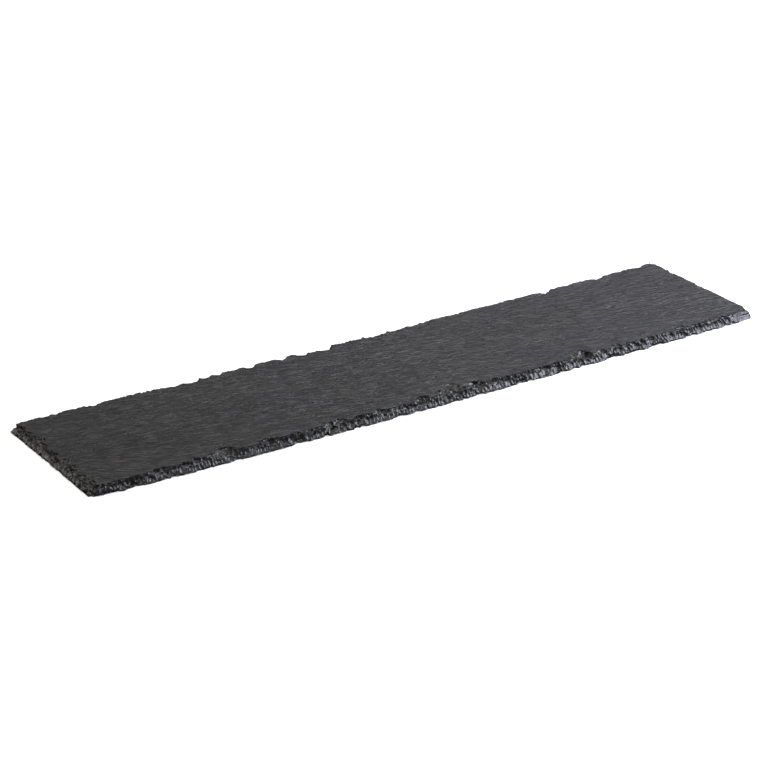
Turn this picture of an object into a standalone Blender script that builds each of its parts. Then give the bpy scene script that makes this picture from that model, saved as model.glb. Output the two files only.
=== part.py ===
"""A slate serving slab: one long plate of split slate with hand-knapped, bevelled edges.

The plate lies on its flat underside with its length along X and its width along Y. The origin is
the middle of the footprint, on the surface that the plate rests on. Lengths are in metres.

It is built as a clean bevelled blank, and its edge is then knapped as the real one is: each flake
that the cutter knocks off is an egg-shaped scoop, and every vertex inside a scoop slides along a
line of its own until it stands on the scar.
"""

import math
import random

import bmesh
import bpy
from mathutils import Matrix, Vector

MM = 0.001

# Driving dimensions of the plate.
LENGTH = 450 * MM
WIDTH = 100 * MM
THICKNESS = 6 * MM
ARRIS_HEIGHT = 0.9 * MM  # height of the sharp outer rim above the underside
UNDERSIDE_INSET = 0.7 * MM  # how far the flat underside stays behind that rim

# How far the top face stays behind the rim on each side: the front is the most heavily dressed.
BEVEL = {"front": 3.0 * MM, "back": 1.1 * MM, "left": 2.4 * MM, "right": 1.5 * MM}

# Rows of the blank, from the middle of the top face down to the underside: share of the bevel,
# extra inset, height, and lean of the line that a vertex slides along (90 degrees is straight
# down, 0 is straight in).
ROWS = [
    (1.0, 13.0 * MM, THICKNESS, 90),
    (1.0, 8.0 * MM, THICKNESS, 90),
    (1.0, 5.0 * MM, THICKNESS, 90),
    (1.0, 2.5 * MM, THICKNESS, 80),
    (1.0, 0.0, THICKNESS, 60),
    (0.6, 0.0, 0.62 * THICKNESS, 30),
    (0.25, 0.0, 0.34 * THICKNESS, 10),
    (0.0, 0.0, ARRIS_HEIGHT, 0),
    (0.0, UNDERSIDE_INSET, 0.0, 0),
]
STATION = 2.5 * MM  # spacing of the vertices round the edge
CORNER_TURN = 8 * MM  # how far from a corner the sliding lines start to turn towards the diagonal

# Flakes by side, in mm: place along the edge, half width, depth into the plate, scar height.
# Places on the front and back are x, and on the left and right y. A scar higher than the plate is
# thick reaches the underside.
FLAKES = {
    "front": [
        (-199, 8, 4.5, 7.0),
        (-184, 8, 2.8, 7.0),
        (-186, 6, 5.0, 3.5),
        (-165, 5, 5.0, 4.0),
        (-146, 13, 11.0, 3.0),
        (-117, 6, 7.0, 4.0),
        (-100, 7, 2.0, 7.0),
        (-68, 7, 5.5, 3.5),
        (-55, 6, 5.0, 3.5),
        (4, 14, 12.0, 2.6),
        (22, 7, 7.5, 3.2),
        (42, 8, 5.5, 4.0),
        (50, 7, 2.2, 7.0),
        (75, 6, 5.0, 4.0),
        (96, 8, 11.0, 4.2),
        (118, 9, 8.0, 3.4),
        (130, 5, 6.5, 4.0),
        (135, 14, 2.4, 7.2),
        (155, 6, 5.0, 4.5),
        (165, 12, 2.4, 7.2),
        (171, 6, 6.5, 3.5),
        (195, 14, 2.4, 7.2),
        (204, 6, 5.5, 4.0),
    ],
    "back": [
        (-180, 6, 2.2, 4.5),
        (-150, 9, 1.8, 7.0),
        (-120, 14, 4.2, 4.5),
        (-78, 7, 3.0, 4.5),
        (-50, 6, 3.0, 4.5),
        (-33, 12, 5.6, 4.5),
        (10, 8, 4.9, 4.5),
        (55, 20, 2.6, 4.5),
        (100, 6, 2.2, 4.5),
        (138, 8, 3.4, 7.0),
        (179, 6, 3.4, 4.5),
        (209, 6, 2.0, 4.5),
    ],
    "left": [
        (39, 6, 5.0, 3.0),
        (24, 7, 6.5, 2.4),
        (8, 9, 1.8, 7.0),
        (-14, 6, 6.0, 2.4),
        (-34, 8, 6.5, 2.6),
    ],
    "right": [
        (30, 7, 2.0, 4.0),
        (14, 9, 1.8, 7.0),
        (-8, 9, 2.4, 4.0),
        (-26, 7, 1.8, 7.0),
    ],
}
# Flakes knocked off the corners: x and y sign of the corner, plan radius, scar height.
CORNER_FLAKES = [
    (-1, -1, 5.5 * MM, 7.5 * MM),
    (-1, 1, 9.0 * MM, 4.4 * MM),
    (-1, 1, 1.5 * MM, 7.0 * MM),
    (1, 1, 4.0 * MM, 7.0 * MM),
    (1, -1, 12.0 * MM, 4.0 * MM),
    (1, -1, 5.5 * MM, 8.0 * MM),
]
SCOOP_LIFT = 0.8 * MM  # a scoop's middle stands this far above the top face: scars have steep walls

# Small flakes all round: average pitch, range of half widths, of depths past the bevel, of heights.
SMALL_PITCH = 7.0 * MM
SMALL_HALF_WIDTH = (3.0 * MM, 4.5 * MM)
SMALL_DEPTH = (0.2 * MM, 1.0 * MM)
SMALL_HEIGHT = (4.2 * MM, 5.0 * MM)
SMALL_SEED = 11

KNAPPING_ROUNDS = 8  # a vertex that leaves one scar may land in another

SLATE = (0.045, 0.045, 0.047, 1.0)
SLATE_ROUGHNESS = 0.5


def clear_scene():
    for obj in list(bpy.data.objects):
        bpy.data.objects.remove(obj)


def row_rectangle(share, inset):
    """(x low, x high, y low, y high) of the rectangle that a row of the blank follows."""
    return (
        -LENGTH / 2 + share * BEVEL["left"] + inset,
        LENGTH / 2 - share * BEVEL["right"] - inset,
        -WIDTH / 2 + share * BEVEL["front"] + inset,
        WIDTH / 2 - share * BEVEL["back"] - inset,
    )


def stretch(verts, old, new, height):
    """Stretches a ring of vertices from one rectangle onto another, at the height given."""
    for v in verts:
        across = (v.co.x - old[0]) / (old[1] - old[0])
        up = (v.co.y - old[2]) / (old[3] - old[2])
        v.co = (new[0] + across * (new[1] - new[0]), new[2] + up * (new[3] - new[2]), height)


def inward(x, y):
    """Horizontal direction into the plate: square to the edge, and diagonal at a corner."""
    along_x = max(0.0, 1 - (LENGTH / 2 - abs(x)) / CORNER_TURN)
    along_y = max(0.0, 1 - (WIDTH / 2 - abs(y)) / CORNER_TURN)
    return Vector((-math.copysign(along_x, x), -math.copysign(along_y, y), 0)).normalized()


def make_blank():
    """The bevelled blank as a bmesh, and the line that each vertex slides along."""
    bm = bmesh.new()
    cells = {"x_segments": round(LENGTH / STATION), "y_segments": round(WIDTH / STATION)}
    bmesh.ops.create_grid(bm, **cells, size=0.5)
    bmesh.ops.dissolve_faces(bm, faces=bm.faces[:])
    ring = bm.edges[:]
    rectangle = (-0.5, 0.5, -0.5, 0.5)
    lines = {}
    for number, (share, inset, height, lean) in enumerate(ROWS):
        if number:
            made = bmesh.ops.extrude_edge_only(bm, edges=ring)["geom"]
            ring = [g for g in made if isinstance(g, bmesh.types.BMEdge) and g.is_boundary]
        verts = {v for e in ring for v in e.verts}
        target = row_rectangle(share, inset)
        stretch(verts, rectangle, target, height)
        rectangle = target
        tilt = math.radians(lean)
        for v in verts:
            lines[v] = inward(v.co.x, v.co.y) * math.cos(tilt) - Vector((0, 0, math.sin(tilt)))
    bmesh.ops.contextual_create(bm, geom=ring)
    return bm, lines


def scoop(x, y, along_x, along_y, height):
    """The matrix that turns an egg-shaped scoop, centred just above the top face, to a unit ball."""
    place = Matrix.Translation((x, y, THICKNESS + SCOOP_LIFT))
    return (place @ Matrix.Diagonal((along_x, along_y, height + SCOOP_LIFT, 1))).inverted()


def side_scoop(side, place, half_width, depth, height):
    """A scoop on one side of the plate."""
    if side in ("front", "back"):
        edge = -WIDTH / 2 if side == "front" else WIDTH / 2
        return scoop(place, edge, half_width, depth, height)
    edge = -LENGTH / 2 if side == "left" else LENGTH / 2
    return scoop(edge, place, depth, half_width, height)


def small_scoops():
    """An even scatter of small flakes round all four sides."""
    rng = random.Random(SMALL_SEED)
    scoops = []
    for side, bevel in BEVEL.items():
        end = (LENGTH if side in ("front", "back") else WIDTH) / 2
        place = -end
        while place < end:
            place += SMALL_PITCH * rng.uniform(0.6, 1.4)
            half_width = rng.uniform(*SMALL_HALF_WIDTH)
            depth = bevel + rng.uniform(*SMALL_DEPTH)
            scoops.append(side_scoop(side, place, half_width, depth, rng.uniform(*SMALL_HEIGHT)))
    return scoops


def all_scoops():
    """Every flake of the edge: the placed ones, the corner ones and the small ones."""
    scoops = small_scoops()
    for side, flakes in FLAKES.items():
        for flake in flakes:
            scoops.append(side_scoop(side, *[value * MM for value in flake]))
    for x_sign, y_sign, radius, height in CORNER_FLAKES:
        scoops.append(scoop(x_sign * LENGTH / 2, y_sign * WIDTH / 2, radius, radius, height))
    return scoops


def slide_out(bm, lines, to_ball):
    """Slides each vertex inside the scoop along its line to the scar. Returns how many moved."""
    moved = 0
    for v in bm.verts:
        start = to_ball @ v.co
        if start.length_squared >= 1 - 1e-6:
            continue
        step = to_ball.to_3x3() @ lines[v]
        a, b, c = step.dot(step), start.dot(step), start.length_squared - 1
        v.co += lines[v] * ((-b + math.sqrt(b * b - a * c)) / a)
        moved += 1
    return moved


def knap(bm, lines):
    """Takes every flake off the edge."""
    scoops = all_scoops()
    for _ in range(KNAPPING_ROUNDS):
        if not sum(slide_out(bm, lines, to_ball) for to_ball in scoops):
            break


def centre_on_origin(bm):
    """Puts the middle of the knapped outline on the origin."""
    for axis in (0, 1):
        places = [v.co[axis] for v in bm.verts]
        middle = (min(places) + max(places)) / 2
        for v in bm.verts:
            v.co[axis] -= middle


def slate_material():
    material = bpy.data.materials.new("slate")
    material.use_nodes = True
    shader = material.node_tree.nodes["Principled BSDF"]
    shader.inputs["Base Color"].default_value = SLATE
    shader.inputs["Metallic"].default_value = 0.0
    shader.inputs["Roughness"].default_value = SLATE_ROUGHNESS
    return material


def make_slab():
    bm, lines = make_blank()
    knap(bm, lines)
    centre_on_origin(bm)
    bmesh.ops.triangulate(bm, faces=bm.faces[:])
    bmesh.ops.recalc_face_normals(bm, faces=bm.faces[:])
    mesh = bpy.data.meshes.new("slate_slab")
    bm.to_mesh(mesh)
    bm.free()
    mesh.materials.append(slate_material())
    slab = bpy.data.objects.new("slate_slab", mesh)
    bpy.context.scene.collection.objects.link(slab)
    return slab


clear_scene()
make_slab()
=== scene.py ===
# %% [markdown]
# # A slate serving slab
#
# This lesson makes one piece of stone: a long plate of slate, split along its natural cleavage and
# then dressed by hand round the edge. Two things give slate its look. The broad faces are *cleft*:
# they are the planes along which the rock came apart, and they carry fine wrinkles that all run
# one way. The edges are *knapped*: a blunt cutter has knocked off flake after flake, so each edge
# is a steep slope of little shell-shaped scars with sharp ridges between them.
#
# The plain solid in model.glb is loaded first, and gives every size that follows. The
# stone is worked out in millimetres, and the studio round it in metres.

import math
import random

import bmesh
import bpy
import numpy as np
from mathutils import Matrix, Vector, noise


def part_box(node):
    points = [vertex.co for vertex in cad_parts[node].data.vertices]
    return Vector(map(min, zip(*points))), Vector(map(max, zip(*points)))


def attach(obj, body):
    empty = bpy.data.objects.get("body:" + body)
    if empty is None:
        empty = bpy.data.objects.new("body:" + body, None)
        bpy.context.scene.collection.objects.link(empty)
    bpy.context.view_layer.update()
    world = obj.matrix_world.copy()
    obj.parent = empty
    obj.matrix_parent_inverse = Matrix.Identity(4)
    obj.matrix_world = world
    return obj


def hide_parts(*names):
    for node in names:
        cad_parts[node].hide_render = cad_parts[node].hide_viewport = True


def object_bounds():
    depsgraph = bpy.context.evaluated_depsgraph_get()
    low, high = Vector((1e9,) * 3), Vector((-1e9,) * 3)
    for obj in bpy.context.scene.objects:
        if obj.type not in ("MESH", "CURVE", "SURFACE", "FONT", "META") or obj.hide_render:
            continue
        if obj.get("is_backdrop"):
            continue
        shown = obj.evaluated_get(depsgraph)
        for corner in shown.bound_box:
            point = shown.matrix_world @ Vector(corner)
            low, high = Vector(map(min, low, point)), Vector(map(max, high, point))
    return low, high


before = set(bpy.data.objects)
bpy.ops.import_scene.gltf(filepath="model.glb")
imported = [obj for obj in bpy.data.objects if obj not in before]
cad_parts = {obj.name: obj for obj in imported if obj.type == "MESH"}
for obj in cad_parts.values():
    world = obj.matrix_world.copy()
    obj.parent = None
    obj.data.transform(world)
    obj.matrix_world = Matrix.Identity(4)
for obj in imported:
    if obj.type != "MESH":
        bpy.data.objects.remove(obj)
packed_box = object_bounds()

MM = 0.001
low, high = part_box("slate_slab")
LENGTH, WIDTH, THICKNESS = (high - low) / MM
print(f"packed slab: {LENGTH:.1f} x {WIDTH:.1f} x {THICKNESS:.1f} mm")

# %% [markdown]
# ## The camera
#
# A long lens from well back keeps the two long edges nearly parallel. The camera stands to the
# left of the slab's front, looks down by about 24 degrees, and is tipped by about a seventh of a
# degree. It looks along its own -Z, so its turn is built from the two angles and the tip.

# %% Camera
CAMERA_PLACE = Vector((-0.7122, -1.0830, 0.5710))  # m
CAMERA_DOWN = 23.922  # degrees below level
CAMERA_TO_RIGHT = 32.754  # degrees to the right of straight back
CAMERA_TIP = -0.139  # degrees about its own line of sight
CAMERA_LENS = 115.8  # mm
CAMERA_SENSOR = 36  # mm
CAMERA_REACH = 20  # m, past which nothing is drawn


def make_camera():
    camera = bpy.data.objects.new("camera", bpy.data.cameras.new("camera"))
    camera.data.lens = CAMERA_LENS
    camera.data.sensor_width = CAMERA_SENSOR
    camera.data.clip_end = CAMERA_REACH
    bpy.context.scene.collection.objects.link(camera)
    turn = Matrix.Rotation(math.radians(-CAMERA_TO_RIGHT), 4, "Z")
    tilt = Matrix.Rotation(math.radians(90 - CAMERA_DOWN), 4, "X")
    tip = Matrix.Rotation(math.radians(CAMERA_TIP), 4, "Z")
    camera.matrix_world = Matrix.Translation(CAMERA_PLACE) @ turn @ tilt @ tip
    bpy.context.scene.camera = camera


make_camera()
print("camera is", round(CAMERA_PLACE.length, 2), "m from the slab")

# %% [markdown]
# ## The studio
#
# Dark stone on a white ground is lit mostly for its reflections. A wide window lamp, high behind
# and to the right, skims the cleft face, so that it goes from nearly black at the left to a soft
# grey at the right. A cooler lamp low on the right catches the scars that face it, and leaves the
# ones that face left dark. A third lamp stands low behind the left end, and a wide soft one
# overhead lifts everything a little. The floor glows enough to wash its own shadow out, and it is
# kept out of the reflections, because a white floor would fill the dark scars with light.

# %% Studio
FLOOR_SIZE = 8.0  # m
FLOOR_WHITE = 0.90
FLOOR_ROUGHNESS = 0.9
FLOOR_GLOW = 0.35
ROOM_LIGHT = 0.055

# Each lamp: place, width and height in m, power in W, colour. All point at the slab's middle.
LAMPS = {
    "window_lamp": ((1.03, 1.06, 1.18), 1.1, 0.40, 7.4, (0.97, 0.95, 1.0)),
    "right_lamp": ((0.66, -0.26, 0.39), 0.6, 0.45, 10.8, (0.81, 0.85, 1.0)),
    "left_lamp": ((-0.79, 0.97, 0.30), 0.7, 0.35, 2.9, (1.0, 0.98, 0.94)),
    "overhead_lamp": ((-0.50, -0.05, 1.70), 1.6, 1.2, 23.0, (1.0, 0.965, 0.91)),
}


def make_floor():
    bm = bmesh.new()
    bmesh.ops.create_grid(bm, x_segments=1, y_segments=1, size=FLOOR_SIZE / 2)
    mesh = bpy.data.meshes.new("floor")
    bm.to_mesh(mesh)
    bm.free()
    floor = bpy.data.objects.new("floor", mesh)
    bpy.context.scene.collection.objects.link(floor)
    paint = bpy.data.materials.new("floor_white")
    paint.use_nodes = True
    shader = paint.node_tree.nodes["Principled BSDF"]
    shader.inputs["Base Color"].default_value = (FLOOR_WHITE, FLOOR_WHITE, FLOOR_WHITE, 1)
    shader.inputs["Roughness"].default_value = FLOOR_ROUGHNESS
    shader.inputs["Emission Color"].default_value = (1, 1, 1, 1)
    shader.inputs["Emission Strength"].default_value = FLOOR_GLOW
    mesh.materials.append(paint)
    floor.visible_glossy = False
    floor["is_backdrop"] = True


def make_lamp(name, place, width, height, power, colour):
    data = bpy.data.lights.new(name, "AREA")
    data.shape = "RECTANGLE"
    data.size, data.size_y = width, height
    data.energy = power
    data.color = colour
    lamp = bpy.data.objects.new(name, data)
    lamp.location = place
    lamp.rotation_euler = Vector(place).to_track_quat("Z", "Y").to_euler()
    lamp.visible_camera = False
    bpy.context.scene.collection.objects.link(lamp)


def make_room():
    world = bpy.data.worlds.new("room")
    world.use_nodes = True
    background = world.node_tree.nodes["Background"]
    background.inputs["Strength"].default_value = ROOM_LIGHT
    background.inputs["Color"].default_value = (1, 1, 1, 1)
    bpy.context.scene.world = world


make_room()
make_floor()
for lamp_name, lamp_values in LAMPS.items():
    make_lamp(lamp_name, *lamp_values)
bpy.context.scene.view_settings.view_transform = "Standard"
print("lamps:", ", ".join(LAMPS))

# %% [markdown]
# ## The blank
#
# The mesh could be one even grid, but the stone isn't evenly busy: the cleft face has wrinkles a
# few millimetres apart, while the edge has ridges as fine as a knife. So the middle of the top is a
# medium grid, and rings are pulled out from it. On the way every cell is cut in six along the long
# sides, and in two at the ends where the cells are narrow already, which gives the edge its fine
# columns. The rings run down the slope, which flares towards the rim, and in under it. The
# underside is a coarse grid of its own, and its ring is bridged to the last of the fine ones.

# %% Sizes of the blank
TOP_CELL = (2.4, 0.62)  # mm, along and across the slab
UNDER_CELL = (3.4, 2.6)
SIDE_COLUMNS, END_COLUMNS = 6, 2  # per cell
RIM_HEIGHT = 0.4  # height of the outermost line above the underside
LEVEL = 1e-4  # two heights or places that are closer than this are the same

# How far the cleft face stays behind the rim on each side before anything is knocked off.
BEVEL = {"front": 3.7, "back": 0.9, "left": 2.9, "right": 1.8}
# The slope is steep at the top and spreads towards the rim. The smaller the number, the more so.
FLARE = {"front": 0.85, "back": 0.9, "left": 0.75, "right": 0.85}

# The rings on the cleft face, by distance behind its edge, before and after the columns are cut.
COARSE_RINGS = (5.0, 4.4, 3.8)
FINE_RINGS = (3.3, 2.8, 2.3, 1.8, 1.35, 0.9, 0.45, 0.0)
SLOPE_ROWS = 12
UNDER_INSET = 0.3  # how far behind the rim the underside starts
UNDER_GRID_INSET = 2.4  # how far behind the rim its own grid starts


def rectangle(rise, inset):
    """(x low, x high, y low, y high) of a ring at a share of the slope's rise, plus an inset."""
    kept = {side: BEVEL[side] * rise ** FLARE[side] + inset for side in BEVEL}
    return (
        -LENGTH / 2 + kept["left"],
        LENGTH / 2 - kept["right"],
        -WIDTH / 2 + kept["front"],
        WIDTH / 2 - kept["back"],
    )


def open_edges(bm):
    return [e for e in bm.edges if e.is_boundary]


def lay_ring(edges, old, new, height):
    """Moves a ring of edges from one rectangle to another, at a height."""
    for v in {v for e in edges for v in e.verts}:
        across = (v.co.x - old[0]) / (old[1] - old[0])
        up = (v.co.y - old[2]) / (old[3] - old[2])
        v.co = (new[0] + across * (new[1] - new[0]), new[2] + up * (new[3] - new[2]), height)


def pull_ring(bm, old, new, height):
    """Pulls the open ring of edges out to a new rectangle and height."""
    made = bmesh.ops.extrude_edge_only(bm, edges=open_edges(bm))["geom"]
    ring = [g for g in made if isinstance(g, bmesh.types.BMEdge) and g.is_boundary]
    lay_ring(ring, old, new, height)
    return new


def start_grid(bm, cell, place, height):
    """A flat grid of about the cell size given, laid on a rectangle."""
    across = round((place[1] - place[0]) / cell[0])
    up = round((place[3] - place[2]) / cell[1])
    made = bmesh.ops.create_grid(bm, x_segments=across, y_segments=up, size=0.5)["verts"]
    edges = {e for v in made for e in v.link_edges}
    lay_ring(edges, (-0.5, 0.5, -0.5, 0.5), place, height)
    return place


# %% Build the blank
def make_blank():
    bm = bmesh.new()
    ring = start_grid(bm, TOP_CELL, rectangle(1, COARSE_RINGS[0]), THICKNESS)
    for inset in COARSE_RINGS[1:]:
        ring = pull_ring(bm, ring, rectangle(1, inset), THICKNESS)
    long_edges = [e for e in open_edges(bm) if abs(e.verts[0].co.y - e.verts[1].co.y) < LEVEL]
    end_edges = [e for e in open_edges(bm) if e not in long_edges]
    bmesh.ops.subdivide_edges(bm, edges=long_edges, cuts=SIDE_COLUMNS - 1)
    bmesh.ops.subdivide_edges(bm, edges=end_edges, cuts=END_COLUMNS - 1)
    for inset in FINE_RINGS:
        ring = pull_ring(bm, ring, rectangle(1, inset), THICKNESS)
    for row in range(1, SLOPE_ROWS + 1):
        share = 1 - row / SLOPE_ROWS
        height = RIM_HEIGHT + share * (THICKNESS - RIM_HEIGHT)
        ring = pull_ring(bm, ring, rectangle(share, 0), height)
    pull_ring(bm, ring, rectangle(0, UNDER_INSET), 0.0)

    under = bmesh.new()
    start_grid(under, UNDER_CELL, rectangle(0, UNDER_GRID_INSET), 0.0)
    under_mesh = bpy.data.meshes.new("under")
    under.to_mesh(under_mesh)
    under.free()
    bm.from_mesh(under_mesh)
    bpy.data.meshes.remove(under_mesh)
    bmesh.ops.bridge_loops(bm, edges=open_edges(bm))
    return bm


blank = make_blank()
print("blank:", len(blank.verts), "vertices,", len(blank.faces), "faces")

# %% [markdown]
# ## Where the flakes come off
#
# A cutter strikes the edge and a flake springs off, which leaves a scar like the inside of an egg.
# So each flake here is an egg-shaped scoop: where it is along the edge, half its width, how deep it
# goes in from the rim, and how far down it reaches from the cleft face. A scoop that reaches
# further down than the slab is thick also bites the lower edge. The broad scars are placed one by
# one, and the small ones follow each other at uneven steps all the way round, but for two corners.
# The bites and nibbles of the lower edge have their middles low down, and go in deepest there.
# Three of the corners lost a flake of their own, and one of these then broke along the leaves of
# the slate: scoops so wide that they are nearly flat take those facets off. The cells of the cleft
# face under a broad scar are cut finer first, so that its outline comes out clean.

# %% Broad scars
# By side, in mm: place along the edge (x on front and back, y on left and right), half width,
# depth from the rim, height, and for the gentler ones how far the middle is above the cleft face.
BROAD_SCARS = {
    "front": [
        (-199, 6, 4.2, 6.8),
        (-183, 6, 6.6, 4.6),
        (-168, 4, 5.4, 4.8),
        (-161, 4.5, 6.2, 4.2),
        (-149, 8, 8.0, 2.4),
        (-143, 7, 11.0, 3.0),
        (-133, 4, 4.8, 4.6),
        (-117, 5.5, 7.0, 4.4),
        (-100, 6, 5.6, 6.4),
        (-78, 5, 6.8, 4.2),
        (-71, 5.5, 7.9, 3.6),
        (-59, 5, 6.0, 5.0),
        (-46, 6, 6.4, 4.4),
        (-31, 5, 4.4, 5.6),
        (-17, 6, 7.8, 3.6),
        (0, 10, 11.2, 2.0),
        (7, 6.5, 13.2, 2.6),
        (20, 6.5, 9.4, 3.2),
        (34, 5, 6.8, 4.6),
        (49, 5, 4.2, 6.8),
        (67, 5, 5.6, 4.8),
        (76, 4, 5.6, 5.4),
        (92.5, 6.5, 10.0, 3.6),
        (98, 5, 11.2, 4.4),
        (108, 4.5, 6.4, 3.4, 1.6),
        (120, 7, 8.2, 2.6, 2.2),
        (131, 5.5, 7.0, 2.8, 2.2),
        (145, 6, 6.0, 3.2, 2.2),
        (158, 5.5, 7.4, 2.6, 2.2),
        (171, 6.5, 8.2, 2.6, 2.2),
        (180, 5, 6.4, 3.0, 2.2),
        (191, 6, 6.4, 2.8, 2.2),
        (202, 5.5, 5.4, 4.0, 0.8),
    ],
    "back": [
        (-218, 7, 2.6, 5.5),
        (-204, 4, 2.2, 5.0),
        (-194, 4, 1.9, 5.0),
        (-177, 5, 3.3, 5.0),
        (-171, 4, 2.6, 6.0),
        (-125, 8.3, 3.9, 5.0),
        (-114, 6, 4.9, 5.0),
        (-104, 4, 3.6, 5.0),
        (-96, 3.5, 3.0, 5.0),
        (-83, 5, 2.2, 5.0),
        (-76, 4.5, 4.0, 4.6),
        (-64, 5, 2.0, 6.0),
        (-54, 5, 3.9, 4.6),
        (-40.5, 6.5, 5.2, 4.0),
        (-33, 5, 4.0, 5.0),
        (-25, 6.5, 5.8, 4.0),
        (-14, 5, 2.6, 5.0),
        (-1, 5, 2.1, 5.0),
        (9, 7, 4.0, 4.6),
        (17, 4, 2.6, 5.0),
        (25.5, 5.5, 3.2, 5.0),
        (38, 3.5, 2.8, 5.0),
        (48, 4, 1.8, 6.0),
        (62.5, 4.5, 2.5, 5.0),
        (100, 9.3, 2.0, 5.0),
        (130, 4, 2.0, 5.0),
        (137, 5, 4.1, 5.0),
        (160.5, 4.5, 2.2, 5.0),
        (173, 4, 2.0, 5.0),
        (178.5, 5, 3.8, 5.0),
        (194.5, 4.5, 1.9, 5.0),
        (210, 6, 2.8, 5.0),
    ],
    "left": [
        (41, 4, 5.4, 3.4),
        (32, 4.5, 5.2, 3.8),
        (25, 3, 7.0, 2.4),
        (21, 2.4, 10.0, 1.5),
        (14, 4, 5.6, 3.0),
        (4, 3.5, 4.6, 4.2),
        (0, 3, 7.0, 2.0),
        (-10, 2.8, 8.2, 1.6),
        (-12, 5, 5.0, 3.4),
        (-18, 3, 7.0, 2.2),
        (-25, 4, 5.0, 3.4),
        (-32, 3.5, 6.4, 2.4),
        (-37, 3.2, 9.0, 1.8),
        (-42, 4, 7.0, 3.0),
    ],
    "right": [
        (-44.5, 5, 3.8, 2.4),
        (38, 5, 2.4, 5.0),
        (27, 5, 2.8, 5.0),
        (15, 6, 2.2, 5.0),
        (2, 6, 2.8, 5.0),
        (-11, 5, 2.2, 5.0),
        (-24, 5, 2.6, 5.0),
    ],
}
# Flakes off the corners: x and y sign, how far out of the corner in x and y, plan radius, height.
CORNER_SCARS = [
    (-1, -1, 2.9, 6.6, 14.6, 9.7),
    (1, 1, 0, 0, 4.0, 7.0),
    (1, -1, 2.0, 2.0, 6.6, 12.0),
]
# The front right corner broke along two leaves: middle and half sizes of each, and of the groove
# between them.
LEAF_SCARS = [
    ((222.5, -71.0, 21.0), (30.0, 30.0, 30.0)),
    ((220.5, -72.6, 17.6), (30.0, 30.0, 30.0)),
    ((221.0, -50.0, 3.2), (7.0, 4.6, 0.6)),
]
# Small scars stay away from two corners: x and y sign, and how far.
CALM_CORNERS = [(1, -1, 13.0), (-1, 1, 5.0)]
# A scoop's middle stands this far above the cleft face, unless the scar says otherwise.
SCOOP_LIFT = 0.4

# Small scars: average step along the edge, and ranges of half width, of depth and of height. The
# depth counts from the side's nominal edge, and for the lower nibbles from the rim.
EDGE_DEPTH = {"front": 3.7, "back": 0.8, "left": 3.0, "right": 1.6}
SMALL_SCARS = {"step": 2.6, "half_width": (1.2, 2.6), "depth": (0.0, 1.3), "height": (1.6, 3.4)}
NIBBLES = {"step": 1.5, "half_width": (0.6, 1.4), "depth": (0.0, 1.2), "height": (0.6, 2.0)}
LOWER_NIBBLES = {"step": 4.5, "half_width": (1.0, 3.4), "depth": (0.3, 2.4), "height": (3.5, 7.0)}
STEP_SPREAD = (0.5, 1.5)  # each step, as a share of the average

# Bites out of the lower edge of the front: place, half width, depth.
LOWER_BITES = [
    (-216, 9, 3.0),
    (-199, 5, 2.0),
    (-183, 7, 0.9),
    (-156, 3, 0.9),
    (-116, 4, 0.8),
    (-99, 6, 1.6),
    (-85, 4, 1.2),
    (-68, 4, 1.0),
    (-32, 5, 1.2),
    (14, 6, 1.2),
    (34, 3, 0.7),
    (49.5, 4, 1.6),
    (80, 4, 1.1),
    (96, 4, 0.9),
    (119, 5, 1.6),
    (133, 6, 1.8),
    (148, 6, 1.8),
    (164, 6, 1.6),
    (175, 4, 1.9),
    (187, 4, 1.4),
]
LOWER_MIDDLE = 1.5  # height of the middle of a bite or nibble of the lower edge
BITE_HEIGHT = 5.0  # half the height of a bite
BITE_EXTRA = 0.2  # a bite is cut this much deeper, because its middle is above the lower edge
KNAPPING_SEED = 7


def scoop_at(side, place, half_width, depth, height, lift=SCOOP_LIFT):
    """A scoop's middle and half sizes."""
    if side in ("front", "back"):
        edge = -WIDTH / 2 if side == "front" else WIDTH / 2
        middle, half = (place, edge), (half_width, depth)
    else:
        edge = -LENGTH / 2 if side == "left" else LENGTH / 2
        middle, half = (edge, place), (depth, half_width)
    return (*middle, THICKNESS + lift), (*half, height + lift)


def near_a_calm_corner(middle):
    """Whether a scoop is so near a calm corner that it is left out."""
    for x_sign, y_sign, reach in CALM_CORNERS:
        gap_x = abs(middle[0] - x_sign * LENGTH / 2)
        gap_y = abs(middle[1] - y_sign * WIDTH / 2)
        if max(gap_x, gap_y) < reach:
            return True
    return False


def scattered_scoops(kind, rng):
    """Small scoops that follow each other all round at uneven steps."""
    scoops = []
    for side, edge_depth in EDGE_DEPTH.items():
        end = (LENGTH if side in ("front", "back") else WIDTH) / 2
        place = -end
        while place < end:
            place += kind["step"] * rng.uniform(*STEP_SPREAD)
            half_width = rng.uniform(*kind["half_width"])
            depth = rng.uniform(*kind["depth"])
            height = rng.uniform(*kind["height"])
            if kind is LOWER_NIBBLES:
                (x, y, _), half = scoop_at(side, place, half_width, depth, height)
                scoops.append(((x, y, LOWER_MIDDLE), half))
            else:
                scoops.append(scoop_at(side, place, half_width, edge_depth + depth, height))
    return [scoop for scoop in scoops if not near_a_calm_corner(scoop[0])]


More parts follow.
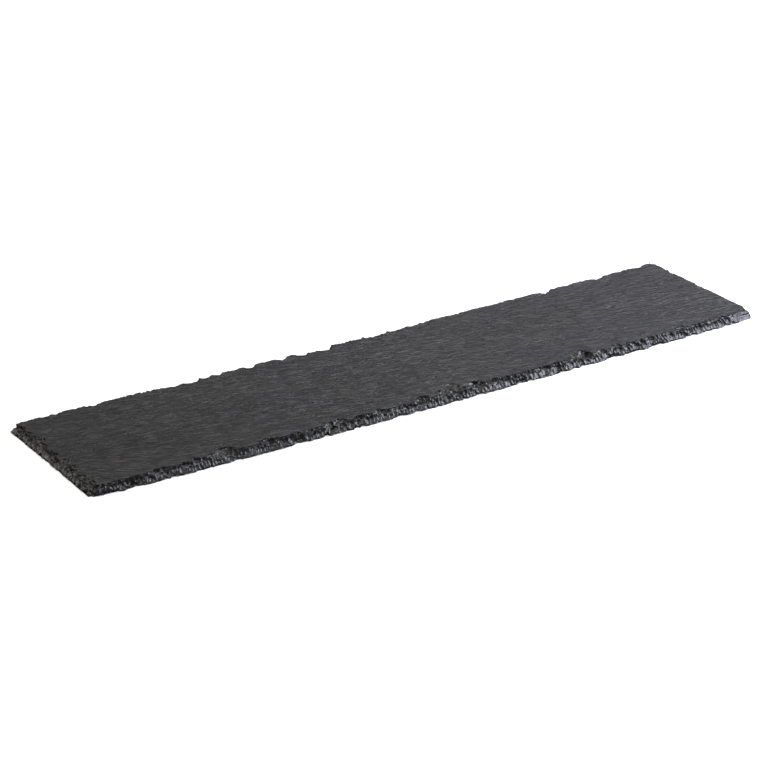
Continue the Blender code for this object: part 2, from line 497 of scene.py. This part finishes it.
def all_scoops():
    """The middle and half sizes of every scoop, the broad ones first."""
    rng = random.Random(KNAPPING_SEED)
    scoops = [scoop_at(side, *scar) for side, scars in BROAD_SCARS.items() for scar in scars]
    for place, half_width, depth in LOWER_BITES:
        middle = (place, -WIDTH / 2, LOWER_MIDDLE)
        scoops.append((middle, (half_width, depth + BITE_EXTRA, BITE_HEIGHT)))
    for x_sign, y_sign, out_x, out_y, radius, height in CORNER_SCARS:
        x = x_sign * (LENGTH / 2 + out_x)
        y = y_sign * (WIDTH / 2 + out_y)
        scoops.append(((x, y, THICKNESS + SCOOP_LIFT), (radius, radius, height + SCOOP_LIFT)))
    for kind in (SMALL_SCARS, NIBBLES, LOWER_NIBBLES):
        scoops += scattered_scoops(kind, rng)
    return scoops


scoops = all_scoops()
print("flakes to take off:", len(scoops))


# %% Cut finer cells under the broad scars
FINER_PAST = 3.5  # a scar this wide or deep gets finer cells
FINER_MARGIN = 1.15  # how far round a scar they go, as a share of its size squared
COARSE_AREA = 0.7  # a smaller cell is fine already


def under_a_broad_scar(face):
    middle = face.calc_center_median()
    if middle.z < THICKNESS:
        return False
    for (x, y, _), (half_x, half_y, _) in broad_scoops:
        if ((middle.x - x) / half_x) ** 2 + ((middle.y - y) / half_y) ** 2 < FINER_MARGIN:
            return True
    return False


broad_scoops = [(middle, half) for middle, half in scoops if max(half[:2]) > FINER_PAST]
coarse = [f for f in blank.faces if f.calc_area() > COARSE_AREA and under_a_broad_scar(f)]
cut_edges = list({e for f in coarse for e in f.edges})
bmesh.ops.subdivide_edges(blank, edges=cut_edges, cuts=1, use_grid_fill=True)
bmesh.ops.triangulate(blank, faces=[f for f in blank.faces if len(f.verts) > 4])
bmesh.ops.recalc_face_normals(blank, faces=blank.faces[:])
print("triangles:", sum(len(f.verts) - 2 for f in blank.faces))

# %% [markdown]
# ## Knapping
#
# Every vertex of the edge owns a line that leads into the stone: level at the rim, and turning
# straight down a few millimetres in on the cleft face. A vertex that stands inside a scoop slides
# along its line until it is out, and goes on if that lands it in the next scoop. The steep scars
# keep even rows of vertices this way, which pushing the surface straight down would not. The
# scoops are smooth eggs, so each vertex is shaken a little while they are taken off, and put back
# after: its scars come out uneven. The leaves of the broken corner come last and aren't shaken.
# The vertices go through numpy arrays, because there are a thousand scoops and many vertices.

# %% Slide the vertices out of the scoops
LEAN_AT_EDGE = 55  # degrees that a sliding line points down by at the edge of the cleft face
LEAN_CURVE = 1.5  # how late on the way up the slope the lines turn down
LEAN_REACH = 5.0  # how far in on the cleft face the lines point straight down
CORNER_TURN = 8.0  # how far from a corner the lines start to turn towards the diagonal
KNAPPING_ROUNDS = 5
KNAPPED_BAND = 15  # how far in from the rim the scars are cut
TOUCHING = 1e-6  # a vertex that is this little inside a scoop stays where it is
SCAR_SHAKE = ((6.5, 1.1), (2.6, 0.7), (1.1, 0.3))  # size and reach of what makes scars uneven
SHAKE_APART = 17  # how far apart in the noise the shake of the three axes is read


def smooth(low_end, high_end, value):
    """0 below the low end, 1 above the high end, and a smooth rise between."""
    t = np.clip((value - low_end) / (high_end - low_end), 0, 1)
    return t * t * (3 - 2 * t)


def gaps_to_slope(place):
    """How far each vertex is from the slope at the front, right, back and left."""
    x_low, x_high, y_low, y_high = rectangle(1, 0)
    x, y = place.T[:2]
    return np.stack([y - y_low, x_high - x, y_high - y, x - x_low])


def gap_to_rim(place):
    """How far each vertex is in from the nearest side of the slab."""
    return np.minimum(LENGTH / 2 - abs(place[:, 0]), WIDTH / 2 - abs(place[:, 1]))


def sliding_lines(place):
    """The line into the stone that each vertex slides along."""
    x, y, z = place.T
    x_sign, y_sign = np.copysign(1, x), np.copysign(1, y)
    turn_x = np.clip(1 - (LENGTH / 2 - np.abs(x)) / CORNER_TURN, 0, 1)
    turn_y = np.clip(1 - (WIDTH / 2 - np.abs(y)) / CORNER_TURN, 0, 1)
    nearest_is_end = (LENGTH / 2 - np.abs(x)) < (WIDTH / 2 - np.abs(y))
    inward = np.stack([-x_sign * turn_x, -y_sign * turn_y], axis=1)
    lost = (turn_x + turn_y) == 0
    inward[lost & nearest_is_end, 0] = -x_sign[lost & nearest_is_end]
    inward[lost & ~nearest_is_end, 1] = -y_sign[lost & ~nearest_is_end]
    inward /= np.linalg.norm(inward, axis=1, keepdims=True)
    on_slope = np.clip((z - RIM_HEIGHT) / (THICKNESS - RIM_HEIGHT), 0, 1) ** LEAN_CURVE
    on_top = (z > THICKNESS - LEVEL) * smooth(0, LEAN_REACH, gaps_to_slope(place).min(axis=0))
    lean = np.radians(LEAN_AT_EDGE * on_slope + (90 - LEAN_AT_EDGE) * on_top)
    return np.column_stack([inward * np.cos(lean)[:, None], -np.sin(lean)])


def take_flake(place, lines, middle, half):
    """Slides each vertex inside a scoop out of it. Returns how many moved."""
    offset = place - middle
    near = np.flatnonzero((np.abs(offset) < half).all(axis=1))
    at = offset[near] / half
    inside = (at * at).sum(axis=1) < 1 - TOUCHING
    near, at = near[inside], at[inside]
    step = lines[near] / half
    a, b, c = (step * step).sum(axis=1), (at * step).sum(axis=1), (at * at).sum(axis=1) - 1
    place[near] += lines[near] * ((-b + np.sqrt(b * b - a * c)) / a)[:, None]
    return len(near)


def scar_shake(point):
    """How far a point is off the smooth scoop: one noise for each axis, in three sizes."""
    shake = Vector((0, 0, 0))
    for size, reach in SCAR_SHAKE:
        apart = [point / size + Vector((SHAKE_APART * axis, 0, 0)) for axis in range(3)]
        shake += reach * Vector([noise.noise(at) for at in apart])
    return shake


def take_flakes(place, lines):
    """Takes off all the scoops, shaken, and then the leaves. Returns the new places."""
    edge = np.flatnonzero(gap_to_rim(place) < KNAPPED_BAND)
    shake = np.array([scar_shake(Vector(p)) for p in place[edge]])
    edge_place, edge_lines = place[edge] + shake, lines[edge]
    sizes = [(np.array(middle), np.array(half)) for middle, half in scoops]
    for _ in range(KNAPPING_ROUNDS):
        moved = sum(take_flake(edge_place, edge_lines, *size) for size in sizes)
        print("vertices moved:", moved)
        if not moved:
            break
    knapped = place.copy()
    knapped[edge] = edge_place - shake
    for middle, half in LEAF_SCARS:
        take_flake(knapped, lines, np.array(middle), np.array(half))
    return knapped


stone_mesh = bpy.data.meshes.new("stone")
blank.to_mesh(stone_mesh)
blank.free()
blank_place = np.zeros(len(stone_mesh.vertices) * 3)
stone_mesh.vertices.foreach_get("co", blank_place)
blank_place = blank_place.reshape(-1, 3)
lines = sliding_lines(blank_place)
knapped_place = take_flakes(blank_place, lines)
carved = np.linalg.norm(knapped_place - blank_place, axis=1)
print(f"deepest cut: {carved.max():.1f} mm")

# %% [markdown]
# ## Flutes and leaves
#
# A fresh scar isn't smooth. Flutes run down it, each a little shell-shaped trough with sharp
# ridges either side, and where the stone's leaves broke one by one there are thin ledges. The
# troughs are the cells of a Voronoi pattern, stretched down the slope: the distance to the cell's
# middle, squared, is a bowl, and two bowls meet in a ridge. They stand out from the scoops, so a
# vertex slides back by as much, and never past where it started. What no scoop reached is worn back
# first, to give the ridges room. The relief is lower at the rim, well in on the cleft face and on
# the two ends, where the shells are also shorter. The leaves of the broken corner stay smooth.

# %% Sizes of the flutes and leaves
# Each layer of shells: width, length down the slope, height of ridges, unevenness of floors.
SHELLS = ((4.4, 6.0, 0.6, 1.2), (2.1, 4.2, 1.2, 0.9), (1.0, 1.5, 0.35, 0.6))
LAYERS_APART = 7.3  # how far apart in the pattern the layers are read
SHELL_SCRAMBLE = 31.7  # turns a cell's middle into a draw of its own
SLOPE_LEAN = 0.35  # how far the flutes lean to either side on the way down
LEAN_SIZE, LEAN_PLACE = 9, 40  # size of the noise that leans them, and where it is read

UNDER_RIM = 1.2  # how far in on the underside the relief runs
RELIEF_RANGE = (4, 96)  # the percentiles that count as the lowest and the highest relief
RIM_SHARE = 0.4  # share of the relief that is left at the rim
FULL_FROM = 3.2  # height above the underside where all of it is there
WEAR_REACH = 1.6  # how far below the cleft face the wear comes in
STEEP_LOSS = 0.25  # share of the relief that is lost where a line points straight down
STEEP_FROM = 0.6  # how far down a line points where the loss starts
END_SHARE = 0.7  # share of the relief on the two ends
END_SHELLS = 0.45  # how long the shells are on the two ends, where they broke across the grain
END_FROM, END_TO = -6.0, -3.0  # where an end starts and is full, outwards from the slab's own end
LEAF_LOSS = 0.85  # share of the relief that is lost on the leaves of the broken corner
LEAF_NEAR, LEAF_FAR = 0.3, 0.9  # distances from a leaf's surface, from smooth to rough


# %% Flutes and leaves on the broken faces
def round_the_edge(place):
    """(distance round the slab, distance up the slope and in on the cleft face)."""
    x, y, z = place.T
    gaps = gaps_to_slope(place)
    side = gaps.argmin(axis=0)
    along = np.choose(
        side,
        [
            x + LENGTH / 2,
            LENGTH + y + WIDTH / 2,
            LENGTH + WIDTH + LENGTH / 2 - x,
            2 * LENGTH + WIDTH + WIDTH / 2 - y,
        ],
    )
    up = (z + np.maximum(gaps.min(axis=0), 0)) / np.where(side % 2 == 1, END_SHELLS, 1)
    return along, up


def shell(cell, uneven):
    """Height in a floor of shells, 0 in the middle of each and 1 on the sharp ridge between two."""
    gaps, middles = noise.voronoi(cell)
    rim = (2 * gaps[0] / (gaps[0] + gaps[1])) ** 2
    turn = noise.cell_vector(middles[0] * SHELL_SCRAMBLE)
    off = cell - middles[0]
    tilt = 2 * (turn.x - 0.5) * off.x + (turn.y - 0.5) * off.y + (turn.z - 0.5)
    return rim + uneven * tilt * (1 - rim)


def broken_relief(along, up):
    """How far the shells stand out at a point of the edge."""
    lean = SLOPE_LEAN * noise.noise(Vector((along / LEAN_SIZE, 0, LEAN_PLACE)))
    relief = 0.0
    for layer, (width, length, ridge, uneven) in enumerate(SHELLS):
        cell = Vector(((along + lean * up) / width, up / length, LAYERS_APART * layer))
        relief += ridge * shell(cell, uneven)
    return relief


def smooth_places(place):
    """How smooth the break is, from 0 to 1: it is smooth on the leaves of the broken corner."""
    share = np.zeros(len(place))
    for middle, half in LEAF_SCARS:
        at = np.linalg.norm((place - middle) / half, axis=1)
        share = np.maximum(share, 1 - smooth(LEAF_NEAR, LEAF_FAR, np.abs(at - 1) * min(half)))
    return share


def relief_all_over(blank_place, edge):
    """How far the shells stand out at every vertex, from 0 at the lowest, and the highest of it."""
    along, up = round_the_edge(blank_place)
    relief = np.zeros(len(blank_place))
    relief[edge] = [broken_relief(along[v], up[v]) for v in edge]
    lowest, highest = RELIEF_RANGE
    relief[edge] -= np.percentile(relief[edge], lowest)
    return np.maximum(relief, 0), np.percentile(relief[edge], highest)


def add_relief(blank_place, lines, carved):
    """The new places, and how far each vertex is from its place in the blank."""
    height = blank_place[:, 2]
    under_rim = gap_to_rim(blank_place) < UNDER_RIM
    on_slope = (height < THICKNESS - LEVEL) & ((height > LEVEL) | under_rim)
    edge = np.flatnonzero((carved > 0) | on_slope)
    relief, highest = relief_all_over(blank_place, edge)
    share = RIM_SHARE + (1 - RIM_SHARE) * smooth(RIM_HEIGHT, FULL_FROM, height)
    wear = highest * share * smooth(0, WEAR_REACH, THICKNESS - height) * on_slope
    share *= 1 - STEEP_LOSS * smooth(STEEP_FROM, 1.0, -lines[:, 2])
    share *= 1 - (1 - END_SHARE) * smooth(END_FROM, END_TO, abs(blank_place[:, 0]) - LENGTH / 2)
    smoothed = smooth_places(blank_place + lines * carved[:, None])
    share *= 1 - LEAF_LOSS * smoothed
    wear *= 1 - smoothed
    kept = np.maximum(np.maximum(carved, wear) - relief * share, 0)
    untouched = np.mean(kept[on_slope] == 0)
    print(f"relief: up to {highest:.2f} mm, {untouched:.0%} of the slope untouched")
    return blank_place + lines * kept[:, None], kept


stone_place, carved = add_relief(blank_place, lines, carved)
print("broken vertices:", int((carved > 0.02).sum()))

# %% [markdown]
# ## The cleft
#
# Slate splits along planes that were gently crumpled while the rock was being squeezed, so a cleft
# face has low wrinkles that run one way and wander a little. Noise makes them: it is stretched
# along the grain, and its place across the grain is pushed to and fro by a slower noise. The grain
# leans a little towards the front as it runs right, and swings round at the front left corner. The
# mesh holds the wider wrinkles, up to half a millimetre deep, and the material adds the finest. The
# underside gets wrinkles of its own. Last, the slab is bent: its long edges bow a little.

# %% Grain and wrinkles
GRAIN_SLOPE = 0.21  # how much the grain leans towards the front as it runs right
SWING = 0.6  # extra lean at the left end
SWING_START, SWING_SOFTNESS = -178.0, 8.0  # the x where it starts, and over how far
SWING_BEHIND, SWING_BLEND = -8.0, 7.0  # the y behind which it fades, and over how far
SWAY = 3.0  # how far the grain wanders to either side
SWAY_SIZE, SWAY_PLACE = (90, 45), 88

WRINKLE_DEPTH = 0.58
# Noises in the plane of the grain: size along and across it, and reach or share of the depth.
WANDERS = (((12, 6), 1.0), ((4.5, 2.6), 0.5))
MIDDLE_DEPTH = 0.45
BROAD_SIZE, BROAD_SHARE = (18, 7), 0.1
RIPPLE_SIZE, RIPPLE_SHARE = (10, 2.8), 0.4
CREASE_SIZE, CREASE_SHARE, CREASE_SHARPNESS = (12, 3.4), 0.5, 9
BROAD_PLACE, RIPPLE_PLACE, CREASE_PLACE = 3, 5, 9  # how far past a face's own place they are read
TOP_PLACE, UNDER_PLACE = 0, 60  # where in the noise the two faces are read
TOP_SHARE = 0.2  # what is above this share of the thickness moves with the top
BOW = 2.2  # how far the long edges bow towards the front
NARROWER = 1.3  # how much narrower the slab is made, to keep the bowed edges in the box


def flat_noise(u, v, size, place):
    """Noise from -1 to 1, whose blobs have the size given, read in the plane at a place."""
    return noise.noise(Vector((u / size[0], v / size[1], place)))


def grain_at(x, y):
    """(distance along the grain, distance across it)."""
    left = SWING_SOFTNESS * math.log1p(math.exp((SWING_START - x) / SWING_SOFTNESS))
    front = 1 / (1 + math.exp((y - SWING_BEHIND) / SWING_BLEND))
    sway = SWAY * flat_noise(x, y, SWAY_SIZE, SWAY_PLACE)
    return x - GRAIN_SLOPE * y, y + GRAIN_SLOPE * x - SWING * left * front + sway


def wrinkle(along, across, place):
    """How far the cleft lies below its highest ridges, from 0 to about 1."""
    for step, (size, reach) in enumerate(WANDERS):
        across += reach * flat_noise(along, across, size, place + step)
    broad = flat_noise(along, across, BROAD_SIZE, place + BROAD_PLACE)
    ripple = flat_noise(along, across, RIPPLE_SIZE, place + RIPPLE_PLACE)
    fold = flat_noise(along, across, CREASE_SIZE, place + CREASE_PLACE)
    crease = (1 - abs(fold)) ** CREASE_SHARPNESS
    return MIDDLE_DEPTH + BROAD_SHARE * broad + RIPPLE_SHARE * ripple + CREASE_SHARE * crease


def bend(place):
    """Narrows the slab a little and bows its long edges towards the front."""
    x, y = place[:, 0], place[:, 1]
    place[:, 1] = y * (1 - NARROWER / WIDTH) - BOW / 2 + BOW * (x / (LENGTH / 2)) ** 2


def add_cleft(place, blank_place):
    """Lowers the top and raises the underside by their wrinkles, and everything between in step."""
    result = place.copy()
    for v, (x, y, z) in enumerate(blank_place):
        share = z / THICKNESS
        face = TOP_PLACE if share > TOP_SHARE else UNDER_PLACE
        depth = WRINKLE_DEPTH * max(0, wrinkle(*grain_at(x, y), face))
        result[v, 2] += -depth * share if share > TOP_SHARE else depth * (1 - share)
    return result


stone_place = add_cleft(stone_place, blank_place)
bend(stone_place)
print(f"stone is {stone_place[:, 2].min():.2f} to {stone_place[:, 2].max():.2f} mm high")

# %% [markdown]
# ## The finished stone
#
# The vertices go back into the mesh, in metres. Three facts are stored with them for the material:
# how freshly broken the surface is, where it lies in the grain, and where it lies on the slope
# round the edge. The shading is smooth, but breaks where two faces meet at more than a set angle,
# so that ridges stay crisp.

# %% Make the stone
SHARP_ANGLE = 38  # degrees
BROKEN_FROM, BROKEN_TO = 0.03, 0.25  # mm of stone gone


def store(mesh, name, kind, key, values):
    """Stores a value or a vector with each vertex."""
    attribute = mesh.attributes.new(name, kind, "POINT")
    attribute.data.foreach_set(key, np.asarray(values, np.float32).ravel())


def make_stone():
    stone_mesh.vertices.foreach_set("co", (stone_place * MM).astype(np.float32).ravel())
    broken = smooth(BROKEN_FROM, BROKEN_TO, carved)
    height = blank_place[:, 2]
    broken[(height < THICKNESS - LEVEL) & (height > LEVEL)] = 1
    store(stone_mesh, "broken", "FLOAT", "value", broken)
    grain = [(*grain_at(x, y), z) for x, y, z in stone_place]
    store(stone_mesh, "grain", "FLOAT_VECTOR", "vector", grain)
    along, up = round_the_edge(blank_place)
    store(stone_mesh, "slope", "FLOAT_VECTOR", "vector", np.column_stack([along, up, along * 0]))
    stone_mesh.shade_smooth()
    stone_mesh.set_sharp_from_angle(angle=math.radians(SHARP_ANGLE))
    stone_mesh.update()
    stone = bpy.data.objects.new("knapped_slate", stone_mesh)
    bpy.context.scene.collection.objects.link(stone)
    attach(stone, "root")
    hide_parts("slate_slab")
    print("stone:", len(stone_mesh.vertices), "vertices")


make_stone()

# %% [markdown]
# ## Shader maths
#
# A material is a graph of nodes. Writing one out node by node hides the idea, so a small class
# wraps an output socket. Adding or multiplying two of them makes the Math node for it, and one
# method makes any other node: its settings come first, then the values and links of its sockets.


# %% Wire
class Wire:
    """An output socket of a shader node, with arithmetic."""

    def __init__(self, tree, socket=None):
        self.tree = tree
        self.socket = socket

    def node(self, kind, settings=None, sockets=None, output=0):
        """Makes a node: its settings first, then the values or links of its sockets."""
        node = self.tree.nodes.new(kind)
        for name, value in (settings or {}).items():
            setattr(node, name, value)
        for name, value in (sockets or {}).items():
            if isinstance(value, Wire):
                self.tree.links.new(value.socket, node.inputs[name])
            else:
                node.inputs[name].default_value = value
        return Wire(self.tree, node.outputs[output])

    def maths(self, operation, *values):
        return self.node("ShaderNodeMath", {"operation": operation}, dict(enumerate(values)))

    def __add__(self, other):
        return self.maths("ADD", self, other)

    def __sub__(self, other):
        return self.maths("SUBTRACT", self, other)

    def __rsub__(self, other):
        return self.maths("SUBTRACT", other, self)

    def __mul__(self, other):
        return self.maths("MULTIPLY", self, other)

    def __pow__(self, other):
        return self.maths("POWER", self, other)

    __radd__ = __add__
    __rmul__ = __mul__


print("shader maths is ready")

# %% [markdown]
# ## Slate
#
# Slate is fine mud turned to stone, dark grey and nearly without colour. The cleft face is satin:
# it scatters light softly, with streaks along the grain. The creases in it are duller, and the
# shade in them is painted into the colour as a darker tone, because little light gets out of them.
# A broken face is slicker, and shows the leaves edge on.
# Finer wrinkles than the mesh holds, the creases, the grit and the leaves are all bump.

# %% Colours and patterns of the slate
CLEFT_DARK, CLEFT_LIGHT = (0.0140, 0.0133, 0.0123, 1), (0.0265, 0.0255, 0.0240, 1)
# Painted shade: the colour that the creases of the cleft face are darkened to, for the little light
# that gets out of them.
CREASE_SHADE_COLOUR = (0.004, 0.004, 0.0038, 1)
BROKEN_DARK, BROKEN_LIGHT = (0.009, 0.0087, 0.0085, 1), (0.027, 0.0263, 0.0258, 1)
SLATE_IOR = 1.5

# Noises: size in mm along, across and through, then detail, roughness and where it is read.
GRAIN_PATTERNS = {
    "mottle": ((38, 16, 9), 3, 0.5, 0.0),
    "streak": ((14, 1.1, 3), 3, 0.6, 0.0),
    "grit": ((0.5, 0.35, 0.35), 2, 0.7, 0.0),
    "fold": ((18, 2.6, 6), 2, 0.5, 31.0),
    "wrinkles": ((15, 2.1, 4), 3, 0.55, 0.0),
    "pits": ((1.6, 0.9, 2), 2, 0.5, 7.0),
}
SLOPE_PATTERNS = {
    "splinter": ((0.7, 2.6, 1), 3, 0.65, 0.0),
    "leaves": ((7, 0.32, 1), 2, 0.6, 0.0),
}
# How much of each pattern goes into the tones, the roughness and the height of the bump, in mm.
CLEFT_TONE = {"mottle": 0.45, "streak": 0.35, "grit": 0.2}
BROKEN_TONE = {"splinter": 0.5, "leaves": 0.5}
CLEFT_TONE_ENDS, BROKEN_TONE_ENDS = (0.36, 0.64), (0.35, 0.7)  # from dark to light
CLEFT_ROUGH, CLEFT_ROUGH_PARTS = 0.27, {"streak": 0.08, "grit": 0.08, "crease": 0.25}
BROKEN_ROUGH, BROKEN_ROUGH_PARTS = 0.24, {"splinter": 0.22}
CLEFT_BUMP = {"wrinkles": 1.5, "pits": 0.06, "grit": 0.04, "crease": -0.7}
BROKEN_BUMP = {"splinter": 0.12, "leaves": 0.06, "grit": 0.02}
CREASE_NARROWNESS = 15
CREASE_SHADE_COVER = 0.9  # how much of the cleft's colour the painted shade of a crease covers


# %% Slate material
def noise_on(wire, coordinates, size, detail, roughness, place):
    """Noise from 0 to 1, whose blobs have the size given in mm along the three coordinates."""
    scale = tuple(1 / s for s in size)
    settings = {"vector_type": "POINT"}
    sockets = {"Vector": coordinates, "Scale": scale, "Location": (place, place, place)}
    at = wire.node("ShaderNodeMapping", settings, sockets)
    sockets = {"Vector": at, "Scale": 1.0, "Detail": detail, "Roughness": roughness}
    return wire.node("ShaderNodeTexNoise", None, sockets)


def step_up(wire, value, low_end, high_end):
    """A smooth rise from 0 to 1 between the two ends."""
    settings = {"interpolation_type": "SMOOTHSTEP"}
    sockets = {"Value": value, "From Min": low_end, "From Max": high_end}
    return wire.node("ShaderNodeMapRange", settings, sockets)


def mix_colours(wire, factor, first, second):
    """A Mix node's colour sockets are its inputs 6 and 7, and its colour output is 2."""
    sockets = {0: factor, 6: first, 7: second}
    return wire.node("ShaderNodeMix", {"data_type": "RGBA"}, sockets, output=2)


def add_up(patterns, parts):
    """The patterns added together, each times its part."""
    first, *rest = [part * patterns[name] for name, part in parts.items()]
    for wire in rest:
        first = first + wire
    return first


def slate_material():
    material = bpy.data.materials.new("cleft_slate")
    material.use_nodes = True
    tree = material.node_tree
    shader = tree.nodes["Principled BSDF"]
    wire = Wire(tree)
    broken = wire.node("ShaderNodeAttribute", {"attribute_name": "broken"}, output=2)
    grain = wire.node("ShaderNodeAttribute", {"attribute_name": "grain"}, output=1)
    slope = wire.node("ShaderNodeAttribute", {"attribute_name": "slope"}, output=1)
    patterns = {name: noise_on(wire, grain, *values) for name, values in GRAIN_PATTERNS.items()}
    patterns |= {name: noise_on(wire, slope, *values) for name, values in SLOPE_PATTERNS.items()}
    fold = 2 * patterns["fold"] - 1
    crease = patterns["crease"] = (1 - wire.maths("ABSOLUTE", fold)) ** CREASE_NARROWNESS

    tone = step_up(wire, add_up(patterns, CLEFT_TONE), *CLEFT_TONE_ENDS)
    cleft_colour = mix_colours(wire, tone, CLEFT_DARK, CLEFT_LIGHT)
    # Painted shade: the creases darken the cleft's colour, standing in for the shade that falls in
    # them.
    cleft_colour = mix_colours(wire, CREASE_SHADE_COVER * crease, cleft_colour, CREASE_SHADE_COLOUR)
    broken_tone = step_up(wire, add_up(patterns, BROKEN_TONE), *BROKEN_TONE_ENDS)
    broken_colour = mix_colours(wire, broken_tone, BROKEN_DARK, BROKEN_LIGHT)
    colour = mix_colours(wire, broken, cleft_colour, broken_colour)

    cleft_rough = CLEFT_ROUGH + add_up(patterns, CLEFT_ROUGH_PARTS)
    broken_rough = BROKEN_ROUGH + add_up(patterns, BROKEN_ROUGH_PARTS)
    rough = cleft_rough * (1 - broken) + broken_rough * broken

    cleft_height, broken_height = add_up(patterns, CLEFT_BUMP), add_up(patterns, BROKEN_BUMP)
    height = cleft_height * (1 - broken) + broken_height * broken
    bump = wire.node("ShaderNodeBump", None, {"Strength": 1.0, "Distance": MM, "Height": height})

    for name, value in (("Base Color", colour), ("Roughness", rough), ("Normal", bump)):
        tree.links.new(value.socket, shader.inputs[name])
    shader.inputs["IOR"].default_value = SLATE_IOR
    return material


stone_mesh.materials.append(slate_material())
print("slate:", len(stone_mesh.materials[0].node_tree.nodes), "nodes")

# %% [markdown]
# ## The size
#
# The boxes of the imported slab and of the finished stone are printed. The stone should fill the
# slab's box, and grow past it by no more than its bow.

# %% Size
stone_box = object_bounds()
for name, box in (("packed", packed_box), ("stone", stone_box)):
    print(name, [[round(value / MM, 2) for value in corner] for corner in box])
